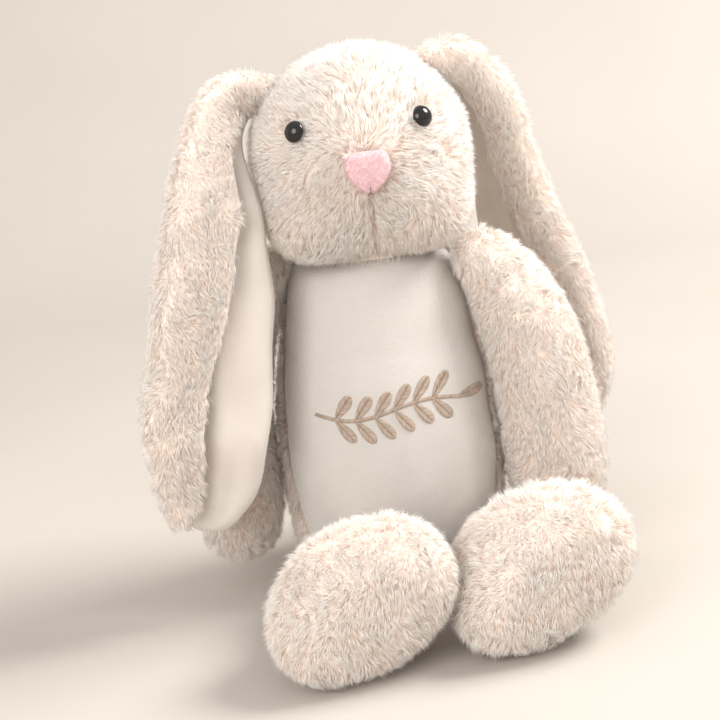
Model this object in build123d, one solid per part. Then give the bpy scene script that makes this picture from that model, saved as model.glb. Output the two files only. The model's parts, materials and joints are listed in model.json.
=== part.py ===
from build123d import *
import math
import os

# A seated plush bunny, in millimetres. It looks along -Y, +Z is up, and z = 0 is the surface it sits on.
# Left and right are the bunny's own, so its left side is on +X.

# ---- driving dimensions ----
FABRIC = 2.5          # backing cloth and pile that a cover panel takes up
FILL_GAP = 0.2        # between a cover and the filling inside it
BASE_Z = 10.0         # seam between the base panel and the torso's side panels
TORSO_TOP = 184.0
TORSO_Y = -5.0        # the torso's axis, and the axis that the head turns on

HEAD_CENTRE = (2.0, -15.0, 246.0)
HEAD_RADII = (60.0, 55.0, 58.0)
NECK_Z = 190.0        # height of the axis that the head nods on
NECK_R = 22.0
NECK_CLEARANCE = 0.6

EYE_R = 6.0
EYE_DOME = 5.0
EYE_OFFSET = (33.0, 19.6)      # from the head's centre, sideways and up
SHANK_R = 2.0
SHANK_LENGTH = 11.0
WASHER_R = 7.5
WASHER_T = 1.6
WASHER_DEPTH = 5.5    # from the head's surface to the middle of a washer
NOSE_WIDTH = 25.0
NOSE_HEIGHT = 24.0
NOSE_T = 5.0

LEG_YAW = 10.5        # both legs point this far towards the bunny's left
LEG_SPREAD = 46.0     # half the distance between the two soles' centres
LEG_Z = 26.0          # height of the hips
FOOT_TILT = 23.0      # how far the soles' long axes rise towards the bunny's left
LEFT_HIP_Y = -37.5    # the legs' hip centres, in the legs' own frame
RIGHT_HIP_Y = -28.0
FOOT_GAP = 0.6        # half the gap where the two feet press flat against each other
SOLE_Y = -112.0       # seam of the sole panel, in the legs' own frame

TAIL_CENTRE = (0.0, 64.0, 34.0)
TAIL_R = 17.0

SLOT_HALF_WIDTH = 10.0         # recess under the base that holds the zip
SLOT_HALF_LENGTH = 38.0
SLOT_DEPTH = 8.0
TAPE_T = 0.8
TOOTH_PITCH = 2.4
TOOTH_WIDTH = 1.0
TOOTH_REACH = 2.0
TOOTH_T = 1.5
SLIDER_Y = 26.0
SLIDER_LENGTH = 9.0
PULL_BAR_Z = 2.3
PULL_BAR_R = 0.6
PULL_LENGTH = 15.0
ZIP_END = 6.0         # from the end of the recess to the first tooth


def write(name, shape):
    """Write one sub-part to its own STEP file."""
    export_step(Compound(children=list(shape.solids())), f"parts/{name}.step")


def box(low, high):
    """A box between two corners."""
    size = [b - a for a, b in zip(low, high)]
    centre = [(a + b) / 2 for a, b in zip(low, high)]
    return Pos(*centre) * Box(*size)


def ellipsoid(centre, radii, grow=0.0):
    """A ball stretched to three radii."""
    return Pos(*centre) * scale(Sphere(1.0), by=tuple(r + grow for r in radii))


def unit(v):
    length = math.sqrt(sum(c * c for c in v))
    return tuple(c / length for c in v)


def path_loft(points, radii, side_of, inset=0.0, ruled=False):
    """A solid through ellipses set square to a path: radii are (along the side direction, across it)."""
    sections = []
    last = len(points) - 1
    for i, (point, (across, through)) in enumerate(zip(points, radii)):
        before = points[max(i - 1, 0)]
        after = points[min(i + 1, last)]
        along = unit([b - a for a, b in zip(before, after)])
        shift = inset if i == 0 else -inset if i == last else 0.0
        origin = tuple(p + shift * a for p, a in zip(point, along))
        plane = Plane(origin=origin, x_dir=side_of(i, along), z_dir=along)
        sections.append(plane * Ellipse(across - inset, through - inset))
    return loft(sections, ruled=ruled)


# ---- torso ----

def torso_solid(grow=0.0):
    """The seated body: a pear on a flat base. grow is negative for what lies inside the covers."""
    rings = [
        (0.0 - min(grow, 0.0), 49.0, 43.0, -1.0),
        (12.0, 58.0, 52.0, -2.0),
        (38.0, 62.0, 57.0, -4.0),
        (70.0, 64.0, 59.0, TORSO_Y),
        (105.0, 62.0, 56.0, TORSO_Y),
        (140.0, 56.0, 50.0, TORSO_Y),
        (165.0, 49.0, 43.0, TORSO_Y),
        (178.0, 42.0, 36.0, TORSO_Y),
        (TORSO_TOP + min(grow, 0.0), 33.0, 28.0, TORSO_Y),
    ]
    sections = [Pos(0, y, z) * Ellipse(rx + grow, ry + grow) for z, rx, ry, y in rings]
    return loft(sections)


def belly_side():
    """Everything in front of the two seams that hold the belly panel."""
    top, bottom = (-12.0, TORSO_TOP), (-30.0, 40.0)
    along = unit((0, top[0] - bottom[0], top[1] - bottom[1]))
    seam = Plane(origin=(0, *top), x_dir=(1, 0, 0), z_dir=(0, -along[2], along[1]))
    return seam * (Pos(0, 0, 100) * Box(300, 500, 200))


def sprig():
    """Outline of the stitched motif: a curved stem with pairs of leaves, drawn in the XZ plane."""
    length, bend = 84.0, 7.0
    centre = (2.0, 110.0)
    stem_width, leaf_length, leaf_width = 2.2, 16.0, 6.5

    def stem_at(t):
        return centre[0] + (t - 0.5) * length, centre[1] + bend * math.sin(math.pi * (2 * t - 1)) / 2

    shapes = []
    steps = 12
    for i in range(steps):
        (x0, z0), (x1, z1) = stem_at(i / steps), stem_at((i + 1) / steps)
        angle = math.degrees(math.atan2(z1 - z0, x1 - x0))
        reach = math.hypot(x1 - x0, z1 - z0) + stem_width
        shapes.append(Pos((x0 + x1) / 2, (z0 + z1) / 2) * Rot(0, 0, angle) * Rectangle(reach, stem_width))
    for i in range(1, 7):
        x, z = stem_at(i / 7.5)
        for turn in (52, -52):
            leaf = Pos(leaf_length * 0.62, 0) * Ellipse(leaf_length / 2, leaf_width / 2)
            shapes.append(Pos(x, z) * Rot(0, 0, turn) * leaf)
    tip = stem_at(1.0)
    shapes.append(Pos(tip[0] + leaf_length * 0.3, tip[1]) * Ellipse(leaf_length / 2, leaf_width / 2))
    return shapes


def motif():
    """The stitched motif, 0.8 mm proud of the belly panel."""
    thread = 0.8
    front = Plane(origin=(0, 0, 0), x_dir=(1, 0, 0), z_dir=(0, -1, 0))
    drawn = sprig()
    outline = drawn[0]
    for shape in drawn[1:]:
        outline = outline + shape
    prism = front * extrude(outline, 90.0)
    return (prism & torso_solid(thread)) - torso_solid()


def zip_slot():
    return box(
        (-SLOT_HALF_WIDTH, -SLOT_HALF_LENGTH, -5),
        (SLOT_HALF_WIDTH, SLOT_HALF_LENGTH, SLOT_DEPTH),
    )


def make_torso():
    outer = torso_solid()
    inner = torso_solid(-FABRIC)
    slot = zip_slot()
    cover = outer - inner - slot
    below = box((-200, -200, -10), (200, 200, BASE_Z))
    upper = cover - below
    front = belly_side()
    sides = upper - front
    write("base_panel", cover & below)
    write("belly_panel", upper & front)
    write("torso_left_panel", sides & box((0, -200, 0), (200, 200, 300)))
    write("torso_right_panel", sides & box((-200, -200, 0), (0, 200, 300)))
    write("body_pod", torso_solid(-FABRIC - FILL_GAP) - slot)
    write("belly_motif", motif())


def make_tail():
    """A round tail against the lower back, flat where it is sewn on."""
    ball = ellipsoid(TAIL_CENTRE, (TAIL_R, TAIL_R, TAIL_R))
    core = ellipsoid(TAIL_CENTRE, (TAIL_R, TAIL_R, TAIL_R), -FABRIC)
    body = torso_solid()
    write("tail_cover", ball - core - body)
    write("tail_stuffing", ellipsoid(TAIL_CENTRE, (TAIL_R, TAIL_R, TAIL_R), -FABRIC - FILL_GAP) - body)


def make_zip():
    """The closed zip in its recess: two tapes, two rows of teeth, end stops, a slider and its pull."""
    tape_low = SLOT_DEPTH - TAPE_T
    tooth_low = tape_low - TOOTH_T
    inner_edge = 0.6
    tooth_root = 2.0
    tooth_tip = 0.8
    rows = int(2 * (SLOT_HALF_LENGTH - ZIP_END) / TOOTH_PITCH)
    for side, name in ((1, "left"), (-1, "right")):
        edges = sorted((side * inner_edge, side * SLOT_HALF_WIDTH))
        tape = box((edges[0], -SLOT_HALF_LENGTH, tape_low), (edges[1], SLOT_HALF_LENGTH, SLOT_DEPTH))
        write(f"zip_tape_{name}", tape)
        reach = sorted((-side * tooth_tip, side * tooth_root))
        teeth = []
        for i in range(rows):
            y = -SLOT_HALF_LENGTH + ZIP_END + TOOTH_PITCH * (i + (0.5 if side > 0 else 0.0))
            low = (reach[0], y - TOOTH_WIDTH / 2, tooth_low)
            teeth.append(box(low, (reach[1], y + TOOTH_WIDTH / 2, tape_low)))
        write(f"zip_teeth_{name}", Compound(children=teeth))
    stops = []
    for y in (-SLOT_HALF_LENGTH + ZIP_END / 2, SLOT_HALF_LENGTH - ZIP_END / 2):
        stops.append(box((-TOOTH_REACH, y - 1.2, tooth_low), (TOOTH_REACH, y + 1.2, tape_low)))
    write("zip_stops", Compound(children=stops))

    plate_top = tooth_low - 0.3
    plate_low = plate_top - 1.5
    half_width, half_length = 4.4, SLIDER_LENGTH / 2
    slider = box(
        (-half_width, SLIDER_Y - half_length, plate_low),
        (half_width, SLIDER_Y + half_length, plate_top),
    )
    for side in (-1, 1):
        edges = sorted((side * (TOOTH_REACH + 0.5), side * half_width))
        slider = slider + box(
            (edges[0], SLIDER_Y - half_length, plate_low),
            (edges[1], SLIDER_Y + half_length, tape_low - 0.3),
        )
        post = sorted((side * 2.1, side * 3.0))
        slider = slider + box(
            (post[0], SLIDER_Y - 1.2, PULL_BAR_Z - 1.2),
            (post[1], SLIDER_Y + 1.2, plate_low + 0.1),
        )
    bar = Pos(0, SLIDER_Y, PULL_BAR_Z) * Rot(0, 90, 0) * Cylinder(PULL_BAR_R, 5.6)
    write("zip_slider", slider + bar)

    barrel = Pos(0, SLIDER_Y, PULL_BAR_Z) * Rot(0, 90, 0) * Cylinder(1.35, 3.6)
    tab = box((-1.8, SLIDER_Y - 5, PULL_BAR_Z - 0.6), (1.8, SLIDER_Y, PULL_BAR_Z + 0.6))
    grip = box(
        (-3.0, SLIDER_Y - PULL_LENGTH, PULL_BAR_Z - 0.6),
        (3.0, SLIDER_Y - 4.5, PULL_BAR_Z + 0.6),
    )
    eye = Pos(0, SLIDER_Y - PULL_LENGTH + 3, PULL_BAR_Z) * Cylinder(1.2, 6)
    bore = Pos(0, SLIDER_Y, PULL_BAR_Z) * Rot(0, 90, 0) * Cylinder(PULL_BAR_R + 0.2, 8)
    write("zip_pull", barrel + tab + grip - eye - bore)


# ---- neck and head ----

def neck_ball(grow=0.0):
    return Pos(0, TORSO_Y, NECK_Z) * Sphere(NECK_R + grow)


def make_neck():
    """The stuffed neck between the torso's flat top and the pocket under the head."""
    floor_gap = 0.3
    top = box((-60, -60, TORSO_TOP + floor_gap), (60, 60, 300))
    write("neck_gusset", neck_ball() & top)


def eye_frame(side):
    """A plane on the head's surface at one eye, with its normal pointing out."""
    dx, dz = EYE_OFFSET
    rx, ry, rz = HEAD_RADII
    dy = ry * math.sqrt(1 - (dx / rx) ** 2 - (dz / rz) ** 2)
    offset = (side * dx, -dy, dz)
    normal = unit((offset[0] / rx ** 2, offset[1] / ry ** 2, offset[2] / rz ** 2))
    origin = tuple(c + o for c, o in zip(HEAD_CENTRE, offset))
    return Plane(origin=origin, x_dir=(-normal[1], normal[0], 0), z_dir=normal)


def nose_pad():
    """A rounded triangle, point down, that follows the curve of the face."""
    x, z = HEAD_CENTRE[0] + 2.0, HEAD_CENTRE[2] - 2.0
    half_width, half_height = NOSE_WIDTH / 2, NOSE_HEIGHT / 2
    corner = 6.0
    outline = make_hull([
        edge
        for px, pz, r in (
            (x - half_width + corner, z + half_height - corner, corner),
            (x + half_width - corner, z + half_height - corner, corner),
            (x, z - half_height + 3.5, 3.5),
        )
        for edge in (Pos(px, pz) * Circle(r)).edges()
    ])
    front = Plane(origin=(0, 0, 0), x_dir=(1, 0, 0), z_dir=(0, -1, 0))
    prism = front * extrude(outline, 120.0)
    return (prism & ellipsoid(HEAD_CENTRE, HEAD_RADII, NOSE_T)) - ellipsoid(HEAD_CENTRE, HEAD_RADII)


def make_head():
    outer = ellipsoid(HEAD_CENTRE, HEAD_RADII)
    inner = ellipsoid(HEAD_CENTRE, HEAD_RADII, -FABRIC)
    pocket = neck_ball(NECK_CLEARANCE)
    cover = outer - inner - pocket
    filling = ellipsoid(HEAD_CENTRE, HEAD_RADII, -FABRIC - FILL_GAP) - pocket
    for side, name in ((1, "left"), (-1, "right")):
        frame = eye_frame(side)
        dome = scale(Sphere(1.0), by=(EYE_R, EYE_R, EYE_DOME)) & box((-9, -9, 1.2), (9, 9, 9))
        shank = Pos(0, 0, 1.2 - SHANK_LENGTH / 2) * Cylinder(SHANK_R, SHANK_LENGTH)
        hole = Pos(0, 0, -SHANK_LENGTH / 2) * Cylinder(SHANK_R + 0.2, SHANK_LENGTH + 8)
        washer = Pos(0, 0, -WASHER_DEPTH) * Cylinder(WASHER_R, WASHER_T)
        room = Pos(0, 0, -WASHER_DEPTH) * Cylinder(WASHER_R + 0.4, WASHER_T + 0.8)
        bore = Pos(0, 0, -WASHER_DEPTH) * Cylinder(SHANK_R + 0.05, WASHER_T + 1)
        write(f"eye_{name}", frame * (dome + shank))
        write(f"eye_washer_{name}", frame * (washer - bore))
        cover = cover - frame * hole
        filling = filling - frame * hole - frame * room
    front = box((-200, -200, 0), (200, HEAD_CENTRE[1] + 8, 400))
    face = cover & front
    write("head_back_panel", cover - front)
    write("face_left_panel", face & box((HEAD_CENTRE[0], -200, 0), (200, 200, 400)))
    write("face_right_panel", face & box((-200, -200, 0), (HEAD_CENTRE[0], 200, 400)))
    write("head_stuffing", filling)
    write("nose", nose_pad())


# ---- ears ----

# Each station is a point on the ear's middle line, half its width there, and how far the ear is
# turned about its own length. The right ear hangs in front of its arm and the left one behind.
EAR_STATIONS = {
    "right": [
        ((-50, -14, 283), 8, 0),
        ((-60, -16, 283), 13, 0),
        ((-71, -23, 274), 17, 0),
        ((-79, -34, 256), 19, 0),
        ((-84, -50, 226), 22, 0),
        ((-88, -66, 180), 29, 0),
        ((-94, -72, 130), 32, 0),
        ((-101, -71, 88), 26, 0),
        ((-106, -69, 62), 11, 0),
    ],
    "left": [
        ((54, -8, 285), 8, 0),
        ((64, -7, 284), 13, 5),
        ((75, -3, 274), 17, 20),
        ((81, 5, 256), 20, 40),
        ((84, 22, 226), 23, 48),
        ((92, 38, 180), 27, 15),
        ((102, 42, 130), 30, 5),
        ((109, 42, 88), 25, 0),
        ((113, 40, 62), 11, 0),
    ],
}
EAR_PILE_HALF = 4.4
EAR_LINING_HALF = 3.0
EAR_PILE_OFFSET = 3.2
EAR_LINING_OFFSET = -4.2
LINING_INSET = 4.0


def ear_layer(name, offset, half, inset):
    """One layer of an ear, set offset mm behind the middle surface."""
    stations = EAR_STATIONS[name]

    def side_at(i, along):
        turn = math.radians(stations[i][2])
        across = unit((-along[2], 0, along[0]))
        turned = (across[0] * math.cos(turn), -math.sin(turn), across[2] * math.cos(turn))
        lean = sum(a * b for a, b in zip(turned, along))
        return unit([a - lean * b for a, b in zip(turned, along)])

    points = []
    for point, _, turn in stations:
        angle = math.radians(turn)
        normal = (math.sin(angle), math.cos(angle), 0.0)
        points.append(tuple(p + offset * n for p, n in zip(point, normal)))
    radii = [(width - inset, half) for _, width, _ in stations]
    return path_loft(points, radii, side_at, ruled=True)


def make_ears():
    for name in EAR_STATIONS:
        fur = ear_layer(name, EAR_PILE_OFFSET, EAR_PILE_HALF, 0.0)
        lining = ear_layer(name, EAR_LINING_OFFSET, EAR_LINING_HALF, LINING_INSET)
        write(f"ear_{name}_fur", fur)
        write(f"ear_{name}_lining", lining - fur)


# ---- arms ----

# How far out from the shoulder, how high, and the half width, from the shoulder to the paw.
ARM_STATIONS = {
    "left": (-28.0, [
        (50, 198, 7), (56, 190, 14), (68, 174, 20), (80, 150, 24),
        (88, 118, 26), (91, 86, 26.5), (92, 60, 25), (92, 44, 19), (92, 37, 9),
    ]),
    "right": (-8.0, [
        (50, 198, 7), (56, 190, 14), (68, 174, 18.5), (80, 150, 22),
        (89, 118, 23.5), (91, 86, 24), (92, 54, 23), (92, 37, 18), (92, 29, 9),
    ]),
}
ARM_FLATNESS = 0.9     # an arm's depth over its width


def arm_solid(name, side, inset=0.0):
    depth, stations = ARM_STATIONS[name]
    points = [(side * x, depth, z) for x, z, _ in stations]
    radii = [(width * ARM_FLATNESS, width) for _, _, width in stations]
    return path_loft(points, radii, lambda i, along: (0, 1, 0), inset)


def make_arms():
    for side, name in ((1, "left"), (-1, "right")):
        inner = arm_solid(name, side, FABRIC)
        write(f"arm_{name}_cover", arm_solid(name, side) - inner)
        write(f"arm_{name}_stuffing", arm_solid(name, side, FABRIC + FILL_GAP))


# ---- legs ----

def legs_frame():
    """The frame both legs are drawn in: turned by LEG_YAW about a point inside the torso."""
    return Pos(0, -40, 0) * Rot(0, 0, LEG_YAW)


def leg_solid(side, inset=0.0):
    """A short leg along -Y that ends in a broad oval foot, standing on its edge."""
    hip_y = LEFT_HIP_Y if side > 0 else RIGHT_HIP_Y
    stations = [
        (hip_y + 23, 9.0, 9.0, LEG_Z, 0.0),
        (hip_y + 16, 17.0, 17.0, LEG_Z, 0.0),
        (hip_y, 23.5, 24.0, LEG_Z, 0.0),
        (-66.0, 26.0, 27.0, 29.0, FOOT_TILT / 2),
        (-82.0, 44.0, 33.0, 38.0, FOOT_TILT),
        (-98.0, 51.0, 38.5, 41.2, FOOT_TILT),
        (SOLE_Y, 48.0, 35.5, 41.2, FOOT_TILT),
        (-122.0, 32.0, 22.0, 41.2, FOOT_TILT),
    ]
    sections = []
    last = len(stations) - 1
    for i, (y, long_r, short_r, z, tilt) in enumerate(stations):
        y += -inset if i == 0 else inset if i == last else 0.0
        along = (math.cos(math.radians(tilt)), 0, math.sin(math.radians(tilt)))
        plane = Plane(origin=(side * LEG_SPREAD, y, z), x_dir=along, z_dir=(0, -1, 0))
        sections.append(plane * Ellipse(long_r - inset, short_r - inset))
    inner_limit = FOOT_GAP + inset
    own_side = sorted((side * inner_limit, side * 200))
    room = box((own_side[0], -300, -50), (own_side[1], 100, 200))
    return legs_frame() * (loft(sections) & room)


def make_legs():
    in_front = legs_frame() * box((-200, -300, -50), (200, SOLE_Y, 200))
    for side, name in ((1, "left"), (-1, "right")):
        cover = leg_solid(side) - leg_solid(side, FABRIC)
        write(f"leg_{name}_sole", cover & in_front)
        write(f"leg_{name}_cover", cover - in_front)
        write(f"leg_{name}_stuffing", leg_solid(side, FABRIC + FILL_GAP))


os.makedirs("parts", exist_ok=True)
make_torso()
make_tail()
make_zip()
make_neck()
make_head()
make_ears()
make_arms()
make_legs()
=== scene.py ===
import json
import math

import bpy
import numpy as np
from mathutils import Matrix, Vector
from mathutils.bvhtree import BVHTree
from mathutils.kdtree import KDTree

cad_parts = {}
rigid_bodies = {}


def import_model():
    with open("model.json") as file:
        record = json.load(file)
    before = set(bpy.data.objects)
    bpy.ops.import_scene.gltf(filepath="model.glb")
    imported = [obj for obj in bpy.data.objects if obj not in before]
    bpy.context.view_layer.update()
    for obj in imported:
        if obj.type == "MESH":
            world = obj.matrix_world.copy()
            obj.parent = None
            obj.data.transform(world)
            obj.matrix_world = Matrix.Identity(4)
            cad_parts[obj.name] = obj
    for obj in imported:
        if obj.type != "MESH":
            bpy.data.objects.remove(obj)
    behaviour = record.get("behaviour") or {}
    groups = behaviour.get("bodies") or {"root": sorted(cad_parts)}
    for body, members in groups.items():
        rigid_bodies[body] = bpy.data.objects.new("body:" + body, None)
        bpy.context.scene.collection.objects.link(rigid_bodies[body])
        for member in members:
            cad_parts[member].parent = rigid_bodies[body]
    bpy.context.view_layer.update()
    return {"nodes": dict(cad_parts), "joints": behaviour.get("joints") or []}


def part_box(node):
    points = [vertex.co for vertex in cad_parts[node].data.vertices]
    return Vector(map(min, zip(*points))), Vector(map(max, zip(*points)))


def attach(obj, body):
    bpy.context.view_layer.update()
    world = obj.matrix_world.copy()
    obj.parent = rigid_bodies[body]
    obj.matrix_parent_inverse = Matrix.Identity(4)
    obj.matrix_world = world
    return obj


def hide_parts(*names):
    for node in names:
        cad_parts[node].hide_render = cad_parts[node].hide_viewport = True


for left_over in list(bpy.data.objects):
    bpy.data.objects.remove(left_over)

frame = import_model()
scene = bpy.context.scene

MM = 0.001
FLOOR_CLEARANCE = 0.3 * MM
SWELL_FRAMES = 12


# ---- small helpers ----

def unit(v):
    return v / np.maximum(np.linalg.norm(v, axis=-1, keepdims=True), 1e-12)


def corners(node):
    low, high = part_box(node)
    return np.array(low), np.array(high)


def middle(node):
    low, high = corners(node)
    return (low + high) / 2


def joint_place(name):
    """Where a joint's axis passes, in metres."""
    return np.array(next(j for j in frame["joints"] if j["name"] == name)["pos_m"])


def smooth_noise(points, wavelength, seed, waves=5):
    """A smooth vector field of about unit size that wanders over the given wavelength."""
    rng = np.random.default_rng(seed)
    field = np.zeros_like(points)
    for _ in range(waves):
        direction = unit(rng.normal(size=(3, 3)))
        turns = 2 * math.pi / wavelength * rng.uniform(0.6, 1.5, 3)
        phase = rng.uniform(0, 2 * math.pi, 3)
        field += np.sin(points @ direction.T * turns + phase)
    return field / math.sqrt(waves)


def bump(points, centre, radius):
    """1 at the centre, falling smoothly to 0 over the radius (or radii)."""
    away = (points - np.array(centre)) / np.array(radius)
    return np.exp(-(away ** 2).sum(axis=-1) * 2.0)


# ---- materials ----

def principled(name):
    material = bpy.data.materials.new(name)
    material.use_nodes = True
    return material, material.node_tree, material.node_tree.nodes["Principled BSDF"]


def plain_strand(name, colour, roughness=0.75):
    """One tint of fibre. Fibres vary by tint from strand to strand, and the pile's root tints are darker than
    its tip tints as painted shade deep in the pile.
    """
    material, _, shader = principled(name)
    shader.inputs["Base Color"].default_value = (*colour, 1)
    shader.inputs["Roughness"].default_value = roughness
    shader.inputs["Specular IOR Level"].default_value = 0.2
    shader.inputs["Sheen Weight"].default_value = 0.15
    shader.inputs["Sheen Roughness"].default_value = 0.5
    return material


def tints(name, colours, roughness=0.75):
    return [plain_strand(f"{name}_{i}", colour, roughness) for i, colour in enumerate(colours)]


GRAIN_SCALE = 1600
RELIEF_DEPTH = 0.4 * MM


def mottled(name, dark, light, scale, roughness=0.8, relief_strength=0.2, weave=0.0, sheen=0.3):
    """A cloth: colour that wanders between two tones, with a grain in relief, and a weave if it has one."""
    material, tree, shader = principled(name)
    nodes, links = tree.nodes, tree.links
    place = nodes.new("ShaderNodeTexCoord")
    noise = nodes.new("ShaderNodeTexNoise")
    noise.inputs["Scale"].default_value = scale
    noise.inputs["Detail"].default_value = 6
    links.new(place.outputs["Object"], noise.inputs["Vector"])
    ramp = nodes.new("ShaderNodeValToRGB")
    ramp.color_ramp.elements[0].position = 0.3
    ramp.color_ramp.elements[0].color = (*dark, 1)
    ramp.color_ramp.elements[1].position = 0.7
    ramp.color_ramp.elements[1].color = (*light, 1)
    links.new(noise.outputs["Fac"], ramp.inputs["Fac"])
    links.new(ramp.outputs["Color"], shader.inputs["Base Color"])
    relief = nodes.new("ShaderNodeTexNoise")
    relief.inputs["Scale"].default_value = GRAIN_SCALE
    relief.inputs["Detail"].default_value = 3
    links.new(place.outputs["Object"], relief.inputs["Vector"])
    height = relief.outputs["Fac"]
    if weave:
        threads = []
        for direction in ("X", "Z"):
            wave = nodes.new("ShaderNodeTexWave")
            wave.bands_direction = direction
            wave.inputs["Scale"].default_value = weave
            wave.inputs["Distortion"].default_value = 0.6
            links.new(place.outputs["Object"], wave.inputs["Vector"])
            threads.append(wave.outputs["Fac"])
        cross = nodes.new("ShaderNodeMath")
        cross.operation = "MULTIPLY"
        links.new(threads[0], cross.inputs[0])
        links.new(threads[1], cross.inputs[1])
        both = nodes.new("ShaderNodeMath")
        both.operation = "ADD"
        links.new(cross.outputs[0], both.inputs[0])
        links.new(height, both.inputs[1])
        height = both.outputs[0]
    raised = nodes.new("ShaderNodeBump")
    raised.inputs["Strength"].default_value = relief_strength
    raised.inputs["Distance"].default_value = RELIEF_DEPTH
    links.new(height, raised.inputs["Height"])
    links.new(raised.outputs["Normal"], shader.inputs["Normal"])
    shader.inputs["Roughness"].default_value = roughness
    shader.inputs["Sheen Weight"].default_value = sheen
    return material


# Pile is given as root tints and then as many tip tints. The root tints are darker and warmer than the tips:
# painted warm shade deep in the pile.
FUR = tints("fur_root", [(0.98, 0.89, 0.82), (0.98, 0.90, 0.84), (0.98, 0.88, 0.80)])
FUR += tints("fur_tip", [(0.98, 0.94, 0.89), (0.98, 0.95, 0.91), (0.98, 0.92, 0.86)])
THREAD = tints("thread", [(0.42, 0.33, 0.26), (0.48, 0.38, 0.31), (0.36, 0.28, 0.22)], roughness=0.45)
# The skin under the pile is darker and warmer than the fibres: painted warm shade deep in the pile.
backing = mottled("fur_backing", (0.96, 0.84, 0.76), (0.97, 0.88, 0.81), 60)
belly_cloth = mottled("belly_cloth", (0.54, 0.505, 0.47), (0.60, 0.565, 0.53), 25, 0.85, 0.5, weave=300)
lining_cloth = mottled("ear_velour", (0.62, 0.56, 0.50), (0.67, 0.61, 0.55), 45, 0.8, 0.5, sheen=0.6)
nose_cloth = mottled("nose_velour", (0.84, 0.57, 0.59), (0.88, 0.63, 0.65), 160, 0.8, 0.6, sheen=0.6)
stitch_dark = mottled("stitch_dark", (0.10, 0.06, 0.05), (0.18, 0.11, 0.09), 300, 0.6)
eye_gloss = mottled("eye_gloss", (0.004, 0.004, 0.004), (0.008, 0.007, 0.007), 80, 0.06, 0.0, sheen=0.0)
zip_cloth = mottled("zip_cloth", (0.72, 0.63, 0.55), (0.78, 0.70, 0.62), 200, 0.8, 0.4, weave=900)
zip_nylon = mottled("zip_nylon", (0.74, 0.68, 0.60), (0.80, 0.74, 0.67), 200, 0.4, 0.1)
zip_metal = mottled("zip_metal", (0.62, 0.57, 0.52), (0.68, 0.63, 0.58), 300, 0.35, 0.1)
washer_plastic = mottled("washer_plastic", (0.80, 0.80, 0.78), (0.86, 0.86, 0.84), 200, 0.5, 0.1)


# ---- mesh making ----

def new_piece(name, verts, faces, materials):
    mesh = bpy.data.meshes.new(name)
    mesh.from_pydata([tuple(v) for v in verts], [], [tuple(int(i) for i in f) for f in faces])
    for material in materials:
        mesh.materials.append(material)
    mesh.polygons.foreach_set("use_smooth", [True] * len(mesh.polygons))
    obj = bpy.data.objects.new(name, mesh)
    scene.collection.objects.link(obj)
    return obj


def apply_modifiers(obj):
    depsgraph = bpy.context.evaluated_depsgraph_get()
    mesh = bpy.data.meshes.new_from_object(obj.evaluated_get(depsgraph))
    obj.modifiers.clear()
    old = obj.data
    obj.data = mesh
    bpy.data.meshes.remove(old)


def points_of(obj):
    flat = np.empty(len(obj.data.vertices) * 3)
    obj.data.vertices.foreach_get("co", flat)
    return flat.reshape(-1, 3)


def set_points(obj, points):
    obj.data.vertices.foreach_set("co", points.ravel())
    obj.data.update()


def surface_of(obj):
    """Points, their normals and the triangles of a mesh object."""
    mesh = obj.data
    mesh.calc_loop_triangles()
    normals = np.empty(len(mesh.vertices) * 3)
    mesh.vertices.foreach_get("normal", normals)
    tris = np.empty(len(mesh.loop_triangles) * 3, dtype=int)
    mesh.loop_triangles.foreach_get("vertices", tris)
    return points_of(obj), normals.reshape(-1, 3), tris.reshape(-1, 3)


def tree_of(obj):
    verts, _, tris = surface_of(obj)
    return BVHTree.FromPolygons([Vector(v) for v in verts], [tuple(int(i) for i in t) for t in tris])


def front_of(tree, x, z, fallback):
    """The y of the front surface at a place seen from the front."""
    hit = tree.ray_cast(Vector((x, -0.3, z)), Vector((0, 1, 0)))
    return hit[0].y if hit[0] is not None else fallback


def soften(obj, smoothing, divisions):
    relax = obj.modifiers.new("relax", "SMOOTH")
    relax.iterations = smoothing
    if divisions:
        divide = obj.modifiers.new("divide", "SUBSURF")
        divide.levels = divisions
    apply_modifiers(obj)


def voxel_copy(name, node, material, voxel, smoothing, divisions=0):
    """A copy of a node's outline, remade in even cells and rounded."""
    obj = bpy.data.objects.new(name, frame["nodes"][node].data.copy())
    scene.collection.objects.link(obj)
    obj.data.materials.clear()
    obj.data.materials.append(material)
    remesh = obj.modifiers.new("remesh", "REMESH")
    remesh.mode = "VOXEL"
    remesh.voxel_size = voxel
    soften(obj, smoothing, divisions)
    return obj


def thicken(obj, thickness):
    """Makes a single surface a closed cloth, inwards from its outer side."""
    thick = obj.modifiers.new("thick", "SOLIDIFY")
    thick.thickness = thickness
    thick.offset = -1
    apply_modifiers(obj)


def swell(obj, cap, pressure=4.0):
    """Blows a closed skin up from inside, as filling does, and moves no point by more than the cap."""
    before = points_of(obj)
    cloth = obj.modifiers.new("cloth", "CLOTH")
    cloth.settings.use_pressure = True
    cloth.settings.uniform_pressure_force = pressure
    cloth.settings.effector_weights.gravity = 0
    cloth.collision_settings.use_collision = False
    for step in range(1, SWELL_FRAMES + 1):
        scene.frame_set(step)
    depsgraph = bpy.context.evaluated_depsgraph_get()
    shape = obj.evaluated_get(depsgraph).data
    flat = np.empty(len(shape.vertices) * 3)
    shape.vertices.foreach_get("co", flat)
    move = flat.reshape(-1, 3) - before
    far = np.linalg.norm(move, axis=1, keepdims=True)
    obj.modifiers.clear()
    scene.frame_set(1)
    set_points(obj, before + move * np.minimum(1.0, cap / np.maximum(far, 1e-9)))


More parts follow.
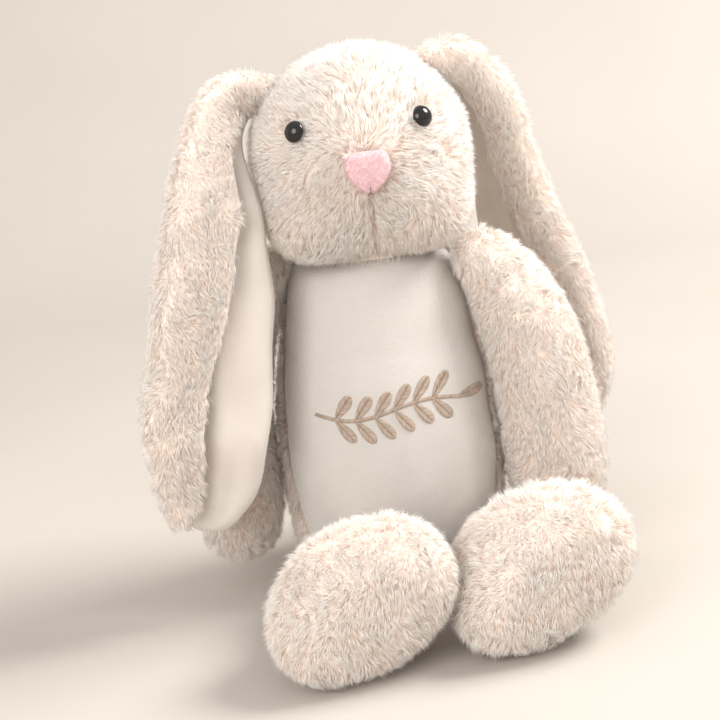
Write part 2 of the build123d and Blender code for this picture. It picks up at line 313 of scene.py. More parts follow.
def skin(name, node, body, cap, voxel=4.5 * MM, sculpt=None, stands_for=()):
    """A stuffed cover: the filling's outer shape, swelled, smoothed and sculpted."""
    obj = voxel_copy(name, node, backing, voxel, smoothing=6)
    swell(obj, cap)
    soften(obj, smoothing=4, divisions=1)
    points = points_of(obj)
    if sculpt:
        points = sculpt(points, surface_of(obj)[1])
    points[:, 2] = np.maximum(points[:, 2], FLOOR_CLEARANCE)
    set_points(obj, points)
    obj.data.polygons.foreach_set("use_smooth", [True] * len(obj.data.polygons))
    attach(obj, body)
    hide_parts(node, *stands_for)
    return obj


# ---- fur ----

STRANDS_PER_PIECE = 18000
PILE_LENGTH = 9 * MM
STRAND_RADIUS = 0.135 * MM
ROOT_DEPTH = 0.4 * MM
TUFT_WIDTH = 5 * MM
# Strands per square millimetre of skin.
DENSITY = {"head": 1.9, "torso": 1.0, "base": 1.0, "ear": 1.6, "arm": 1.55, "leg": 1.6, "tail": 1.4,
           "neck": 0.8}


def strand_mesh(name, rings, tips, tint, materials):
    """Closed three-sided strands: two rings of three points and a tip each, 7 points and 7 faces."""
    count = len(tips)
    verts = np.concatenate([rings.reshape(count, 6, 3), tips[:, None]], axis=1).reshape(-1, 3)
    first = np.arange(count)[:, None] * 7
    base = first + np.array([0, 2, 1])
    quads = np.stack([first + np.array([i, (i + 1) % 3, 3 + (i + 1) % 3, 3 + i]) for i in range(3)], axis=1)
    caps = np.stack([first + np.array([3 + i, 3 + (i + 1) % 3, 6]) for i in range(3)], axis=1)
    loops = np.concatenate([base, quads.reshape(count, 12), caps.reshape(count, 9)], axis=1).ravel()
    sizes = np.tile([3, 4, 4, 4, 3, 3, 3], count)
    starts = np.concatenate([[0], np.cumsum(sizes)[:-1]])
    tint_count = len(materials) // 2
    # The lower four faces take a root tint, darker as painted shade deep in the pile, and the upper three
    # take a tip tint.
    upper = np.array([0, 0, 0, 0, 1, 1, 1]) * tint_count
    slots = (tint[:, None] + upper).ravel()
    mesh = bpy.data.meshes.new(name)
    mesh.vertices.add(len(verts))
    mesh.vertices.foreach_set("co", verts.ravel())
    mesh.loops.add(len(loops))
    mesh.loops.foreach_set("vertex_index", loops)
    mesh.polygons.add(len(sizes))
    mesh.polygons.foreach_set("loop_start", starts)
    for material in materials:
        mesh.materials.append(material)
    mesh.polygons.foreach_set("material_index", slots)
    mesh.polygons.foreach_set("use_smooth", np.ones(len(sizes), dtype=bool))
    mesh.update(calc_edges=True)
    obj = bpy.data.objects.new(name, mesh)
    scene.collection.objects.link(obj)
    return obj


def scatter(rng, surface, density):
    """Places spread over a surface by area, with the surface's normal at each."""
    verts, normals, tris = surface
    cornered = verts[tris]
    edges = cornered[:, 1:] - cornered[:, :1]
    area = np.linalg.norm(np.cross(edges[:, 0], edges[:, 1]), axis=1) / 2
    count = int(area.sum() / MM ** 2 * density)
    pick = rng.choice(len(tris), size=count, p=area / area.sum())
    mix = rng.random((count, 2))
    over = mix.sum(axis=1) > 1
    mix[over] = 1 - mix[over]
    weights = np.column_stack([1 - mix.sum(axis=1), mix])[:, :, None]
    return (cornered[pick] * weights).sum(axis=1), unit((normals[tris][pick] * weights).sum(axis=1))


def nearest_head(rng, root, per_tuft):
    """For each strand, the strand at the middle of its tuft."""
    count = len(root)
    heads = rng.choice(count, size=max(int(count / per_tuft), 1), replace=False)
    tree = KDTree(len(heads))
    for i, h in enumerate(heads):
        tree.insert(root[h], i)
    tree.balance()
    return heads[np.array([tree.find(p)[1] for p in root])]


def grow(name, body, surface, density, length, flow, seed, keep=None, lean=1.0, clump=TUFT_WIDTH,
         radius=STRAND_RADIUS, materials=FUR, gather=0.42):
    """Covers a surface with pile: flow is the way it lies, lean how flat, gather how far tufts close up.

    Each strand leaves the skin, bends over towards the flow at its middle, and ends in a point."""
    rng = np.random.default_rng(seed)
    root, normal = scatter(rng, surface, density)
    if keep is not None:
        kept = keep(root, normal)
        root, normal = root[kept], normal[kept]
    count = len(root)

    lie = flow(root)
    for strength, wavelength, step in ((0.55, 38 * MM, 1), (0.35, 13 * MM, 2)):
        lie = lie + strength * smooth_noise(root, wavelength, seed + step)
    lie = unit(lie - (lie * normal).sum(axis=1, keepdims=True) * normal)
    stray = rng.normal(size=(count, 3)) * 0.22
    slope = lean * rng.uniform(0.75, 1.25, (count, 1))
    long = length * rng.uniform(0.7, 1.15, (count, 1))
    first_way = unit(normal + 0.7 * slope * lie + stray)
    last_way = unit(0.45 * normal + 1.3 * slope * lie + stray * 1.5)
    middle_point = root + first_way * long * 0.5
    tip = middle_point + last_way * long * 0.5

    nearest = nearest_head(rng, root, density * (clump / MM) ** 2)
    pull = gather * rng.uniform(0.4, 1.3, (count, 1))
    tip += pull * (tip[nearest] - tip)
    middle_point += 0.4 * pull * (middle_point[nearest] - middle_point)
    root = root - normal * ROOT_DEPTH

    across = unit(np.cross(first_way, rng.normal(size=(count, 3))))
    other = np.cross(first_way, across)
    rings = np.empty((count, 2, 3, 3))
    for ring, (centre, thickness) in enumerate(((root, radius), (middle_point, radius * 0.8))):
        for corner in range(3):
            angle = 2 * math.pi * corner / 3
            spoke = math.cos(angle) * across + math.sin(angle) * other
            rings[:, ring, corner] = centre + spoke * thickness
    rings[..., 2] = np.maximum(rings[..., 2], FLOOR_CLEARANCE)
    tip[:, 2] = np.maximum(tip[:, 2], FLOOR_CLEARANCE * 1.5)
    tone = smooth_noise(root, 30 * MM, seed + 3)[:, 0] + rng.normal(size=count) * 0.5
    dark_plain_light = np.array([2, 0, 1])
    tint = dark_plain_light[np.digitize(tone, [-0.6, 0.6])]

    parts = max(math.ceil(count / STRANDS_PER_PIECE), 1)
    order = np.argsort(root[:, 2], kind="stable")
    for part, chosen in enumerate(np.array_split(order, parts)):
        obj = strand_mesh(f"{name}_{part + 1}", rings[chosen], tip[chosen], tint[chosen], materials)
        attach(obj, body)


def downwards(points):
    return np.tile([0.0, 0.0, -1.0], (len(points), 1))


def backwards(points):
    return np.tile([0.0, 1.0, 0.0], (len(points), 1))


# ---- head ----

head_low = np.minimum(corners("face_left_panel")[0], corners("face_right_panel")[0])
head_high = np.maximum(corners("face_left_panel")[1], corners("head_back_panel")[1])
nose_at = middle("nose")
eyes_at = {side: middle(f"eye_{side}") for side in ("left", "right")}
head_x = (head_low[0] + head_high[0]) / 2
EYE_WIDTH = 12 * MM
CHEEK_PUSH = 15 * MM
SOCKET_DEPTH = 2.5 * MM
BRIDGE_PUSH = 3 * MM
CREASE_DEPTH = 5 * MM
CHIN_HEIGHT = 14 * MM
CHIN_LIFT = 1.5 * MM


def sculpt_head(points, normals):
    """Full cheeks either side of the mouth seam, shallow eye sockets, a slight bridge and a lifted chin."""
    push = np.zeros(len(points))
    for side in (-1, 1):
        cheek = (head_x + side * 38 * MM, nose_at[1] + 24 * MM, nose_at[2] - 36 * MM)
        push += CHEEK_PUSH * bump(points, cheek, (32 * MM, 50 * MM, 30 * MM))
    for eye in eyes_at.values():
        push -= SOCKET_DEPTH * bump(points, eye, 14 * MM)
    push += BRIDGE_PUSH * bump(points, nose_at + np.array([0, 0, 16 * MM]), 20 * MM)
    below_nose = (points[:, 2] < nose_at[2] - 8 * MM) & (points[:, 1] < nose_at[1] + 40 * MM)
    crease = np.exp(-((points[:, 0] - nose_at[0]) / (4.0 * MM)) ** 2) * below_nose
    push -= CREASE_DEPTH * crease * np.clip((points[:, 2] - head_low[2] - 6 * MM) / (14 * MM), 0, 1)
    points = points + normals * push[:, None]
    chin = np.clip((head_low[2] + CHIN_HEIGHT - points[:, 2]) / CHIN_HEIGHT, 0, 1)
    points[:, 2] += CHIN_LIFT * chin
    return points


head_skin = skin("head_skin", "head_stuffing", "head", cap=3.0 * MM, voxel=5 * MM,
                 sculpt=sculpt_head, stands_for=("face_left_panel", "face_right_panel", "head_back_panel"))


def head_flow(points):
    """Away from the nose and down, and parted to either side of the seam under the nose."""
    away = points - (nose_at + np.array([0, 0, 6 * MM]))
    lie = unit(away) + np.array([0, 0.1, -0.35])
    seam = (points[:, 0] - nose_at[0]) / MM
    near = np.exp(-(seam / 9) ** 2) * (points[:, 2] < nose_at[2] - 6 * MM)
    lie[:, 0] += 1.2 * near * np.sign(seam)
    return lie


def clear_of_face_trim(points, normals):
    """Where no eye covers the head, nor the nose, whose outline narrows downwards."""
    keep = np.ones(len(points), dtype=bool)
    for eye in eyes_at.values():
        keep &= np.linalg.norm((points - eye) * [1, 0.35, 1], axis=1) > EYE_WIDTH * 0.36
    across = np.abs(points[:, 0] - nose_at[0]) / MM
    down = (nose_at[2] - points[:, 2]) / MM
    inside = (across < 12.5 - 0.30 * (down + 12)) & (down > -8) & (down < 11)
    return keep & ~(inside & (points[:, 1] < nose_at[1] + 20 * MM))


grow("head_fur", "head", surface_of(head_skin), DENSITY["head"], PILE_LENGTH, head_flow, seed=11,
     keep=clear_of_face_trim, lean=0.9)


# Factors on the CAD nose: its depth, its height, and its width at even steps from the top to the tip.
PAD_DEPTH = 1.25
PAD_HEIGHT = 0.86
PAD_WIDTHS = [0.92, 0.90, 1.10, 1.28, 1.2]


def soft_pad(name, node, body, material, voxel, forward):
    """A small stuffed applique made from a node's own outline, rounded and fuller towards its tip."""
    obj = voxel_copy(name, node, material, voxel, smoothing=12, divisions=1)
    points = points_of(obj)
    points[:, 1] = (points[:, 1] - points[:, 1].max()) * PAD_DEPTH + points[:, 1].max() - forward
    low, high = points.min(axis=0), points.max(axis=0)
    down = (high[2] - points[:, 2]) / (high[2] - low[2])
    wider = np.interp(down, np.linspace(0, 1, len(PAD_WIDTHS)), PAD_WIDTHS)
    centre_x = (low[0] + high[0]) / 2
    points[:, 0] = centre_x + (points[:, 0] - centre_x) * wider
    points[:, 2] = low[2] + (points[:, 2] - low[2]) * PAD_HEIGHT
    set_points(obj, points)
    obj.data.polygons.foreach_set("use_smooth", [True] * len(obj.data.polygons))
    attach(obj, body)
    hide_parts(node)
    return obj


nose_skin = soft_pad("nose_pad", "nose", "head", nose_cloth, 0.9 * MM, 2.5 * MM)
# Three darker root tints, painted shade deep in the pile, then three lighter tip tints.
NOSE_PILE = tints("nose_pile", [(0.86, 0.60, 0.62), (0.88, 0.64, 0.66), (0.84, 0.56, 0.58),
                                (0.93, 0.73, 0.75), (0.94, 0.77, 0.79), (0.92, 0.70, 0.72)])
grow("nose_pile", "head", surface_of(nose_skin), 9.0, 1.1 * MM, downwards, seed=21, lean=0.5, clump=1.5 * MM,
     radius=0.07 * MM, materials=NOSE_PILE, gather=0.3)


# ---- torso ----

torso_low = corners("base_panel")[0]
torso_top = corners("belly_panel")[1][2]
torso_y = joint_place("neck_turn")[1]
zip_low = np.minimum(corners("zip_tape_left")[0], corners("zip_tape_right")[0])
zip_high = np.maximum(corners("zip_tape_left")[1], corners("zip_tape_right")[1])
# The belly panel's side seams: heights above the floor, and half the panel's width at each.
SEAM_HEIGHTS = np.array([2, 14, 30, 50, 90, 120, 150, 170, 190]) * MM
SEAM_HALF_WIDTHS = np.array([31, 41, 50, 55, 57, 55, 51, 47, 43]) * MM
BASE_HEIGHT = 2 * MM
SHOULDER_PUSH = 6.5 * MM
SHOULDER_LIFT = 5 * MM
BASE_DROP = 2.4 * MM


def sculpt_torso(points, normals):
    """Broad soft shoulders under the head, a flat base, and the recess that the zip lies in."""
    shoulder = np.clip((points[:, 2] - 140 * MM) / (45 * MM), 0, 1)
    points = points + normals * (SHOULDER_PUSH * shoulder * (1 - 0.3 * shoulder))[:, None]
    points[:, 2] += SHOULDER_LIFT * np.clip((points[:, 2] - 165 * MM) / (20 * MM), 0, 1)
    flat = np.clip(1 - points[:, 2] / (6 * MM), 0, 1)
    points[:, 2] -= BASE_DROP * flat
    recess = points[:, 2] < zip_high[2] + 2 * MM
    recess &= np.all(points[:, :2] > zip_low[:2] - 0.5 * MM, axis=1)
    recess &= np.all(points[:, :2] < zip_high[:2] + 0.5 * MM, axis=1)
    points[recess, 2] = zip_high[2] + 0.4 * MM
    return points


torso_skin = skin("torso_skin", "body_pod", "torso", cap=3.0 * MM, voxel=5 * MM,
                  sculpt=sculpt_torso, stands_for=("torso_left_panel", "torso_right_panel", "base_panel"))


def off_the_belly(points, normals):
    """Outside the belly panel's seams, and above the base."""
    half = np.interp(points[:, 2], SEAM_HEIGHTS, SEAM_HALF_WIDTHS)
    on_belly = (np.abs(points[:, 0]) < half - 0.5 * MM) & (points[:, 1] < torso_y)
    return ~on_belly & (points[:, 2] >= BASE_HEIGHT)


def on_the_base(points, normals):
    return (points[:, 2] < BASE_HEIGHT) & (normals[:, 2] < -0.7)


grow("torso_fur", "torso", surface_of(torso_skin), DENSITY["torso"], PILE_LENGTH, downwards, seed=31,
     keep=off_the_belly)
grow("base_fur", "torso", surface_of(torso_skin), DENSITY["base"], 4 * MM, backwards, seed=36,
     keep=on_the_base, lean=2.0)

torso_tree = tree_of(torso_skin)
HEM_HEIGHT = 14 * MM
HEM_TUCK = 1.4 * MM


def belly_grid(columns=90, rows=130):
    """Points on the torso's front between the seams, kept out of the zip's recess at the hem."""
    low, high = 3 * MM, torso_top + 6 * MM
    verts = np.empty((rows + 1, columns + 1, 3))
    for r in range(rows, -1, -1):
        z = low + (high - low) * r / rows
        half = np.interp(z, SEAM_HEIGHTS, SEAM_HALF_WIDTHS)
        last = torso_y
        for side in (range(columns // 2, columns + 1), range(columns // 2, -1, -1)):
            for c in side:
                u = 2 * c / columns - 1
                x = half * math.sin(u * math.pi / 2 * 0.98)
                last = front_of(torso_tree, x, z, last)
                if z < HEM_HEIGHT:
                    last = min(last, verts[r + 1, c, 1] + HEM_TUCK)
                verts[r, c] = (x, last, z)
    return verts


belly_points = belly_grid()
rows, columns = belly_points.shape[0] - 1, belly_points.shape[1] - 1
CROWN_HEIGHT = 3.4 * MM
SEAM_SINK = 0.6 * MM
for _ in range(6):
    y = belly_points[..., 1]
    y[1:-1, 1:-1] = (y[1:-1, 1:-1] + y[:-2, 1:-1] + y[2:, 1:-1] + y[1:-1, :-2] + y[1:-1, 2:]) / 5
flat_points = belly_points.reshape(-1, 3)
across = np.tile(np.linspace(-1, 1, columns + 1), rows + 1)
crown = np.clip((1 - np.abs(across)) / 0.12, 0, 1) ** 0.6
outward = unit((flat_points - [0, torso_y, 0]) * [1, 1, 0])
wrinkle = smooth_noise(flat_points * [1, 1, 0.35], 46 * MM, 44)[:, 0] * 0.5 * MM
side_pull = np.abs(across) ** 3 * smooth_noise(flat_points * [0.2, 0.2, 1.0], 20 * MM, 45)[:, 0] * 0.8 * MM
flat_points += outward * (crown * CROWN_HEIGHT + (wrinkle + side_pull) * crown - SEAM_SINK)[:, None]
row = columns + 1
grid_faces = [(a, a + 1, a + row + 1, a + row)
              for r in range(rows) for a in range(r * row, r * row + columns)]
belly = new_piece("belly_cover", flat_points, grid_faces, [belly_cloth])
thicken(belly, 1.2 * MM)
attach(belly, "torso")
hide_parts("belly_panel")
belly_tree = tree_of(belly)


# ---- embroidery ----

def tube(path, radius, sides=5):
    """Points and faces of a closed tube along a path, thinner at both ends."""
    path = np.array(path)
    along = unit(np.gradient(path, axis=0))
    side_way = unit(np.cross(along, [0.0, 1.0, 0.0]))
    up_way = np.cross(side_way, along)
    verts, faces = [], []
    last = len(path) - 1
    for i, centre in enumerate(path):
        thick = radius * (0.45 if i in (0, last) else 1.0)
        for s in range(sides):
            angle = 2 * math.pi * s / sides
            verts.append(centre + thick * (math.cos(angle) * side_way[i] + math.sin(angle) * up_way[i]))
    for i in range(last):
        for s in range(sides):
            a, b = i * sides + s, i * sides + (s + 1) % sides
            faces.append((a, b, b + sides, a + sides))
    faces.append(tuple(range(sides - 1, -1, -1)))
    faces.append(tuple(last * sides + s for s in range(sides)))
    return verts, faces


STEPS_ALONG_STITCH = 7


def stitches(name, lines, radius, lift, materials, seed):
    """Threads laid on the belly cloth from point to point (x, z), each arched over the cloth."""
    rng = np.random.default_rng(seed)
    verts, faces, slots = [], [], []
    for start, end in lines:
        path = []
        for t in np.linspace(0, 1, STEPS_ALONG_STITCH):
            x, z = np.array(start) * (1 - t) + np.array(end) * t
            y = front_of(belly_tree, x, z, torso_low[1])
            path.append((x, y - lift * math.sin(math.pi * t) ** 0.5 + 0.15 * MM, z))
        more, links = tube(path, radius * rng.uniform(0.85, 1.1))
        tint = int(rng.integers(len(materials)))
        faces += [tuple(i + len(verts) for i in f) for f in links]
        slots += [tint] * len(links)
        verts += more
    obj = new_piece(name, verts, faces, materials)
    obj.data.polygons.foreach_set("material_index", slots)
    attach(obj, "torso")
    return obj


motif_low, motif_high = corners("belly_motif")
STEM_BEND = 7 * MM
STEM_HALF_WIDTH = 1.1 * MM
STEM_STITCHES = 190
LEAF_PAIRS = 6
LEAF_ANGLE_DEG = 52
LEAF_LENGTH = 16 * MM
LEAF_WIDTH = 6.5 * MM
stem_start = motif_low[0] + 1 * MM
stem_length = motif_high[0] - motif_low[0] - 17 * MM
motif_z = (motif_low[2] + motif_high[2]) / 2


def stem_at(t):
    """A point of the stem (x, z), from 0 at its foot to 1 at its head."""
    return np.array([stem_start + t * stem_length, motif_z + STEM_BEND * math.sin(math.pi * (2 * t - 1)) / 2])


def leaf_lines(base, angle, pitch=0.42 * MM):
    """Satin stitches across a leaf, slanted to its midrib, with a split along the middle."""
    along = np.array([math.cos(angle), math.sin(angle)])
    square = np.array([-along[1], along[0]])
    lines = []
    for side in (-1, 1):
        for i in range(1, int(LEAF_LENGTH / pitch)):
            t = i * pitch / LEAF_LENGTH
            half = LEAF_WIDTH / 2 * math.sin(math.pi * min(t * 1.02, 1.0)) ** 0.7
            rib = base + along * (t * LEAF_LENGTH)
            lines.append((rib, rib + square * side * half + along * half * 0.9))
    return lines


motif_lines = []
for i in range(STEM_STITCHES):
    t = i / STEM_STITCHES
    here, ahead = stem_at(t), stem_at(t + 0.004)
    way = (ahead - here) / np.linalg.norm(ahead - here)
    square = np.array([-way[1], way[0]])
    motif_lines.append((here - square * STEM_HALF_WIDTH, here + square * STEM_HALF_WIDTH + way * 0.8 * MM))
for i in range(1, LEAF_PAIRS + 1):
    for turn in (LEAF_ANGLE_DEG, -LEAF_ANGLE_DEG):
        motif_lines += leaf_lines(stem_at(i / (LEAF_PAIRS + 1.5)), math.radians(turn))
motif_lines += leaf_lines(stem_at(0.97), 0.0)
motif = stitches("sprig_stitches", motif_lines, 0.24 * MM, 0.75 * MM, THREAD, 51)
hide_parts("belly_motif")

# The mouth: an upright stitch and two short slanting ones, as (x, z) from the nose's tip in millimetres.
LIP_STITCHES = [((0, 3.2), (0, -0.8)), ((-1.6, -1.2), (0, 0.4)), ((1.6, -1.2), (0, 0.4))]
lip_z = points_of(nose_skin)[:, 2].min()
nose_tree = tree_of(nose_skin)
lip_verts, lip_faces = [], []
for start, end in LIP_STITCHES:
    path = []
    for t in np.linspace(0, 1, STEPS_ALONG_STITCH):
        x = nose_at[0] + (start[0] * (1 - t) + end[0] * t) * MM
        z = lip_z + (start[1] * (1 - t) + end[1] * t) * MM
        front_y = front_of(nose_tree, nose_at[0], max(z, lip_z + 1.2 * MM), nose_at[1])
        path.append((x, front_y - 0.5 * MM, z))
    more, links = tube(path, 0.28 * MM)
    lip_faces += [tuple(i + len(lip_verts) for i in f) for f in links]
    lip_verts += more
mouth = new_piece("mouth_stitch", lip_verts, lip_faces, [stitch_dark])
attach(mouth, "head")


# ---- ears ----

# Offsets from the ear's hinge to points on its middle line, in millimetres, then the half width there.
EAR_LINES = {
    "right": [(8, 2, -4, 9), (-6, -1, 1, 11), (-18, -8, -7, 13), (-26, -20, -25, 16), (-28, -36, -57, 22),
              (-34, -49, -103, 30), (-44, -55, -153, 32), (-50, -55, -195, 28), (-55, -53, -218, 17),
              (-57, -53, -226, 6)],
    "left": [(-11, 0, -1, 9), (3, 0, 2, 11), (14, 5, -8, 13), (21, 13, -27, 15), (27, 27, -58, 18),
             (37, 44, -105, 24), (48, 50, -155, 28), (55, 50, -197, 25), (58, 48, -216, 15),
             (59, 48, -224, 6)],
}
# At each of those points: how far the ear is turned about its length, in degrees, and what share of its
# width is folded over from the outer edge.
EAR_TURN = {"right": [0] * 10, "left": [0, 5, 14, 22, 24, 15, 6, 0, 0, 0]}
EAR_FOLD = {"right": [0.6, 0.6, 0.6, 0.6, 0.58, 0.5, 0.36, 0.27, 0.22, 0.2],
            "left": [0.7, 0.7, 0.6, 0.42, 0.34, 0.3, 0.28, 0.25, 0.2, 0.2]}
EAR_ROLL = 7 * MM
EAR_CUP = 2.5 * MM
EAR_RIDGE = 2.5 * MM
EAR_RIM = 4 * MM
EAR_RIPPLE = 1.2 * MM
EAR_LAYER = 1.5 * MM
EAR_SPREAD = 1.4 * MM


def spline(values, count):
    """Catmull-Rom through the values, evenly in parameter."""
    values = np.array(values, dtype=float)
    padded_values = np.vstack([2 * values[0] - values[1], values, 2 * values[-1] - values[-2]])
    out = []
    for t in np.linspace(0, len(values) - 1 - 1e-9, count):
        i = int(t)
        f = t - i
        a, b, c, d = padded_values[i:i + 4]
        square, cube = 2 * a - 5 * b + 4 * c - d, 3 * b - a - 3 * c + d
        out.append(0.5 * (2 * b + (c - a) * f + square * f ** 2 + cube * f ** 3))
    return np.array(out)


def ear_frame(side, steps):
    """Along the ear: its middle line, half width, and the directions across it and out of its face."""
    out = 1.0 if side == "left" else -1.0
    line = spline(EAR_LINES[side], steps)
    turn = np.radians(spline([[t] for t in EAR_TURN[side]], steps)[:, 0])
    centre = joint_place(f"ear_{side}_lift") + line[:, :3] * MM
    along = unit(np.gradient(centre, axis=0))
    front = np.tile([0.0, -1.0, 0.0], (steps, 1))
    inner = unit(np.cross(along, front)) * out
    inner = np.where((inner[:, :1] * out > 0) & (along[:, 2:] < -0.5), -inner, inner)
    front = unit(front - (front * along).sum(axis=1, keepdims=True) * along)
    cos, sin = np.cos(turn)[:, None], np.sin(turn)[:, None]
    return centre, line[:, 3] * MM, unit(cos * inner - sin * front), unit(cos * front + sin * inner)


def ear_section(half, fold, middle_part, tip_part, spans):
    """A cross-section from the inner edge: flat and cupped, then a round bend, then the part folded over."""
    roll = min(EAR_ROLL, half * 0.35)
    flat = 2 * half - roll
    over = fold * 2 * half
    d = np.linspace(0, 1, spans) * (flat + (math.pi * roll + over) * min(fold * 4, 1.0))
    lateral = np.where(d < flat, half - d, 0.0)
    depth = np.where(d < flat, EAR_CUP * ((half - d) / half).clip(0, 1) ** 2, 0.0)
    bend = (d >= flat) & (d < flat + math.pi * roll)
    angle = (d - flat) / roll
    lateral = np.where(bend, half - flat - roll * np.sin(angle), lateral)
    depth = np.where(bend, roll * (1 - np.cos(angle)), depth)
    back = d >= flat + math.pi * roll
    lateral = np.where(back, half - flat + (d - flat - math.pi * roll), lateral)
    sag = ((d - flat - math.pi * roll) / max(over, 1e-6)).clip(0, 1)
    depth = np.where(back, 2 * roll - 5 * MM * sag ** 1.5, depth)
    ridge = np.exp(-((lateral - 0.15 * half) / (6 * MM)) ** 2) * (d < flat)
    depth += EAR_RIDGE * middle_part * ridge
    rim = np.maximum(np.clip(1 - d / (8 * MM), 0, 1), tip_part)
    depth -= EAR_RIM * rim ** 2
    return lateral[:, None], (depth - roll * 0.6)[:, None]


def ear_surface(side, steps=120, spans=44):
    """The ear's middle surface: a cupped leaf whose outer edge is folded over towards the front."""
    centre, half, wide, face = ear_frame(side, steps)
    length = np.linspace(0, 1, steps)
    ramp = np.clip(0.5 + length / 0.1, 0, 1) * np.clip((1 - length) / 0.16, 0, 1)
    tip_part = np.clip((length - 0.95) / 0.05, 0, 1)
    fold = spline([[f] for f in EAR_FOLD[side]], steps)[:, 0] * ramp
    points = np.empty((steps, spans, 3))
    for i in range(steps):
        lateral, depth = ear_section(half[i], fold[i], ramp[i], tip_part[i], spans)
        points[i] = centre[i] + lateral * wide[i] + depth * face[i]
    ripple = smooth_noise(points.reshape(-1, 3), 55 * MM, 61 if side == "left" else 62)
    points += ripple.reshape(points.shape) * EAR_RIPPLE * ramp[:, None, None]
    return points


def layer(name, points, material, body, node, flip):
    """A thin closed cloth beside the ear's middle surface, on the side that flip (1 or -1) gives."""
    steps, spans = points.shape[:2]
    normal = unit(np.cross(np.gradient(points, axis=0), np.gradient(points, axis=1))) * flip
    outer = (points + normal * EAR_SPREAD).reshape(-1, 3)
    faces = []
    for r in range(steps - 1):
        for c in range(spans - 1):
            a = r * spans + c
            quad = (a, a + spans, a + spans + 1, a + 1)
            faces.append(quad if flip > 0 else quad[::-1])
    obj = new_piece(name, outer, faces, [material])
    surface = surface_of(obj)
    thicken(obj, EAR_LAYER)
    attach(obj, body)
    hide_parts(node)
    return surface


for side, seed in (("left", 71), ("right", 81)):
    middle_surface = ear_surface(side)
    behind = -1.0 if side == "left" else 1.0
    ear = f"ear_{side}"
    fur_side = layer(f"{ear}_back", middle_surface, backing, ear, f"{ear}_fur", behind)
    layer(f"{ear}_velour", middle_surface, lining_cloth, ear, f"{ear}_lining", -behind)
    grow(f"{ear}_pile", ear, fur_side, DENSITY["ear"], 8.5 * MM, downwards, seed, lean=1.1)


# ---- arms, legs, tail and neck ----

ARM_SPAN = 110 * MM
ARM_LONGER = 9 * MM
ARM_FULLER = 2 * MM


def sculpt_arm(side):
    shoulder = joint_place(f"arm_{side}_raise")

    def shape(points, normals):
        """A little longer and fuller towards the paw."""
        down = np.clip((shoulder[2] - points[:, 2]) / ARM_SPAN, 0, 1)
        points = points + normals * (ARM_FULLER * down)[:, None]
        points[:, 2] -= ARM_LONGER * down ** 2
        return points
    return shape


for side, seed in (("left", 101), ("right", 111)):
    arm = skin(f"arm_{side}_skin", f"arm_{side}_stuffing", f"arm_{side}", cap=2.5 * MM,
               sculpt=sculpt_arm(side), stands_for=(f"arm_{side}_cover",))
    grow(f"arm_{side}_fur", f"arm_{side}", surface_of(arm), DENSITY["arm"], PILE_LENGTH, downwards, seed)


# Where each sole has its small dimple, from the sole's centre: across and up, in millimetres.
SOLE_DIMPLE = {"left": (34, 13), "right": (29, -12)}
# How far each sole moves from its CAD place, in millimetres.
SOLE_SHIFT = {"left": (6, -7, -4.5), "right": (6, 0, -4.5)}
SOLE_SLOPE_DEG = 27
SOLE_STRETCH = 0.09
SOLE_SQUEEZE = 0.18
SHIN_PUSH = 7 * MM
DIMPLE_DEPTH = 4 * MM
FOLD_DEPTH = 5.5 * MM


def sculpt_foot(side):
    low = corners(f"leg_{side}_sole")[0]
    centre = middle(f"leg_{side}_sole")
    slope = math.radians(SOLE_SLOPE_DEG)
    long_way = np.array([math.cos(slope), 0, math.sin(slope)])
    short_way = np.array([-math.sin(slope), 0, math.cos(slope)])
    hip = joint_place(f"leg_{side}_swing")
    shin = hip + (centre - hip) * 0.38

    def shape(points, normals):
        """A long slanting sole with a dimple, and on the right foot a fold near its raised end."""
        points = points + normals * (SHIN_PUSH * bump(points, shin, 30 * MM))[:, None]
        front = np.clip((low[1] + 34 * MM - points[:, 1]) / (26 * MM), 0, 1)
        away = points - centre
        along, across = away @ long_way, away @ short_way
        points = points + np.outer(SOLE_STRETCH * along * front, long_way)
        points = points - np.outer(SOLE_SQUEEZE * across * front, short_way)
        points = points + np.array(SOLE_SHIFT[side]) * MM * front[:, None]
        sole = np.clip((low[1] + 20 * MM - points[:, 1]) / (14 * MM), 0, 1)
        spot = centre[[0, 2]] + np.array(SOLE_DIMPLE[side]) * MM
        points[:, 1] += DIMPLE_DEPTH * bump(points[:, [0, 2]], spot, 8 * MM) * sole
        if side == "right":
            past = (points - centre) @ long_way - 40 * MM
            upper = np.clip(((points - centre) @ short_way + 6 * MM) / (12 * MM), 0, 1)
            crease = np.exp(-(past / (4 * MM)) ** 2) * upper * front
            points = points - normals * (FOLD_DEPTH * crease)[:, None]
        return points
    return shape


for side, seed in (("left", 121), ("right", 131)):
    leg = skin(f"leg_{side}_skin", f"leg_{side}_stuffing", f"leg_{side}", cap=2.8 * MM,
               sculpt=sculpt_foot(side), stands_for=(f"leg_{side}_cover", f"leg_{side}_sole"))
    grow(f"leg_{side}_fur", f"leg_{side}", surface_of(leg), DENSITY["leg"], PILE_LENGTH, downwards, seed,
         lean=0.85)

tail = skin("tail_skin", "tail_stuffing", "torso", cap=2.0 * MM, voxel=2.5 * MM,
            stands_for=("tail_cover",))
grow("tail_fur", "torso", surface_of(tail), DENSITY["tail"], 12 * MM, downwards, seed=141, lean=0.6)


def sculpt_neck(points, normals):
    """The stuffed neck, spread out under the weight of the head."""
    centre = joint_place("neck_turn") - [0, 0, 2 * MM]
    return (points - centre) * [1.6, 1.45, 0.8] + centre


neck = skin("neck_skin", "neck_gusset", "neck", cap=1.0 * MM, voxel=3 * MM, sculpt=sculpt_neck)
grow("neck_fur", "neck", surface_of(neck), DENSITY["neck"], 8 * MM, downwards, seed=151)


# ---- pieces that keep their CAD shape ----

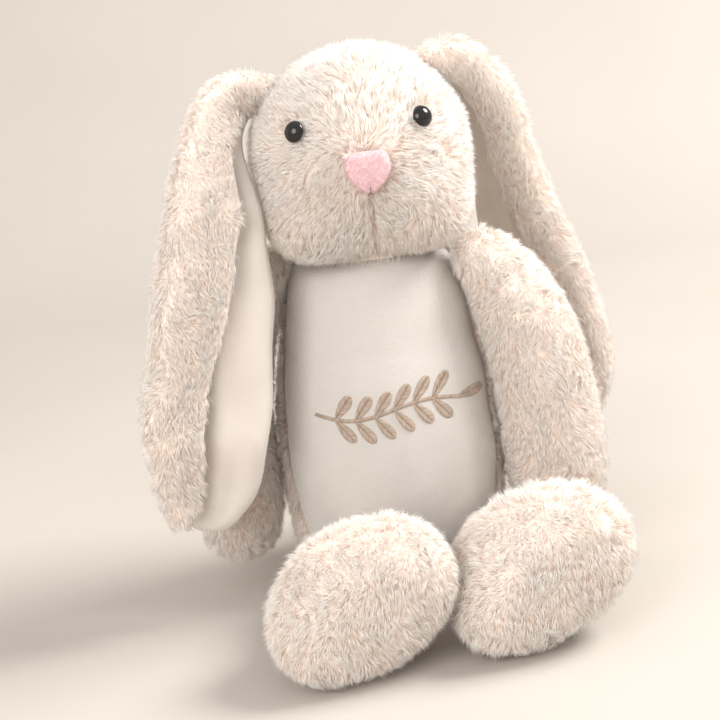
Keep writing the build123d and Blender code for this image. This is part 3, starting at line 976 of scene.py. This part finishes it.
KEPT = {
    eye_gloss: ("eye_left", "eye_right"),
    washer_plastic: ("eye_washer_left", "eye_washer_right"),
    zip_cloth: ("zip_tape_left", "zip_tape_right"),
    zip_nylon: ("zip_teeth_left", "zip_teeth_right", "zip_stops"),
    zip_metal: ("zip_slider", "zip_pull"),
}
for material, nodes in KEPT.items():
    for node in nodes:
        data = frame["nodes"][node].data
        data.materials.clear()
        data.materials.append(material)


# ---- stage, light and camera ----

floor_cloth = mottled("floor", (0.47, 0.43, 0.39), (0.50, 0.46, 0.42), 3, 0.9, 0.02, sheen=0.0)
BEND_RADIUS = 0.5
BACK_Y = 1.3
HALF_FLOOR = 3.0
profile = [(-HALF_FLOOR, 0.0), (BACK_Y - BEND_RADIUS, 0.0)]
profile += [(BACK_Y - BEND_RADIUS + BEND_RADIUS * math.sin(a), BEND_RADIUS * (1 - math.cos(a)))
            for a in np.linspace(0, math.pi / 2, 12)[1:]]
profile += [(BACK_Y, HALF_FLOOR)]
floor_verts = [(x, y, z) for y, z in profile for x in (-HALF_FLOOR, HALF_FLOOR)]
floor_faces = [(2 * i, 2 * i + 1, 2 * i + 3, 2 * i + 2) for i in range(len(profile) - 1)]
floor = new_piece("studio_floor", floor_verts, floor_faces, [floor_cloth])

scene.view_settings.view_transform = "Standard"
world = bpy.data.worlds.new("studio")
world.use_nodes = True
sky = world.node_tree.nodes["Background"]
sky.inputs["Color"].default_value = (1.0, 0.98, 0.96, 1)
sky.inputs["Strength"].default_value = 0.95
scene.world = world
scene.cycles.diffuse_bounces = 8


def area_light(name, place, target, size, power, colour):
    light = bpy.data.lights.new(name, "AREA")
    light.shape = "DISK"
    light.size = size
    light.energy = power
    light.color = colour
    obj = bpy.data.objects.new(name, light)
    obj.location = place
    obj.rotation_euler = (Vector(target) - Vector(place)).to_track_quat("-Z", "Y").to_euler()
    scene.collection.objects.link(obj)


LIGHT_AIM = (0, 0, 0.16)
area_light("window", (1.25, 0.05, 1.4), LIGHT_AIM, 0.9, 45, (1.0, 0.99, 0.97))
area_light("front_fill", (-0.9, -1.6, 1.0), LIGHT_AIM, 1.4, 24, (1.0, 0.97, 0.95))

# The photo's toy leans on a chair. Here it sits upright, and the camera's roll gives the lean.
CAMERA_AIM = (-0.012, -0.040, 0.1355)
CAMERA_DISTANCE = 0.885
CAMERA_HEIGHT_DEG = 14.5
CAMERA_ROLL_DEG = 7.0
CAMERA_LENS = 80.4
tilt, roll = math.radians(CAMERA_HEIGHT_DEG), math.radians(CAMERA_ROLL_DEG)
back = Vector((0, -math.cos(tilt), math.sin(tilt)))
level_right, level_up = Vector((1, 0, 0)), Vector((0, math.sin(tilt), math.cos(tilt)))
right = level_right * math.cos(roll) - level_up * math.sin(roll)
up = level_right * math.sin(roll) + level_up * math.cos(roll)
camera_data = bpy.data.cameras.new("camera")
camera_data.sensor_width = 36
camera_data.lens = CAMERA_LENS
camera = bpy.data.objects.new("camera", camera_data)
turn = Matrix((right, up, back)).transposed()
camera.matrix_world = Matrix.Translation(Vector(CAMERA_AIM) + back * CAMERA_DISTANCE) @ turn.to_4x4()
scene.collection.objects.link(camera)
scene.camera = camera
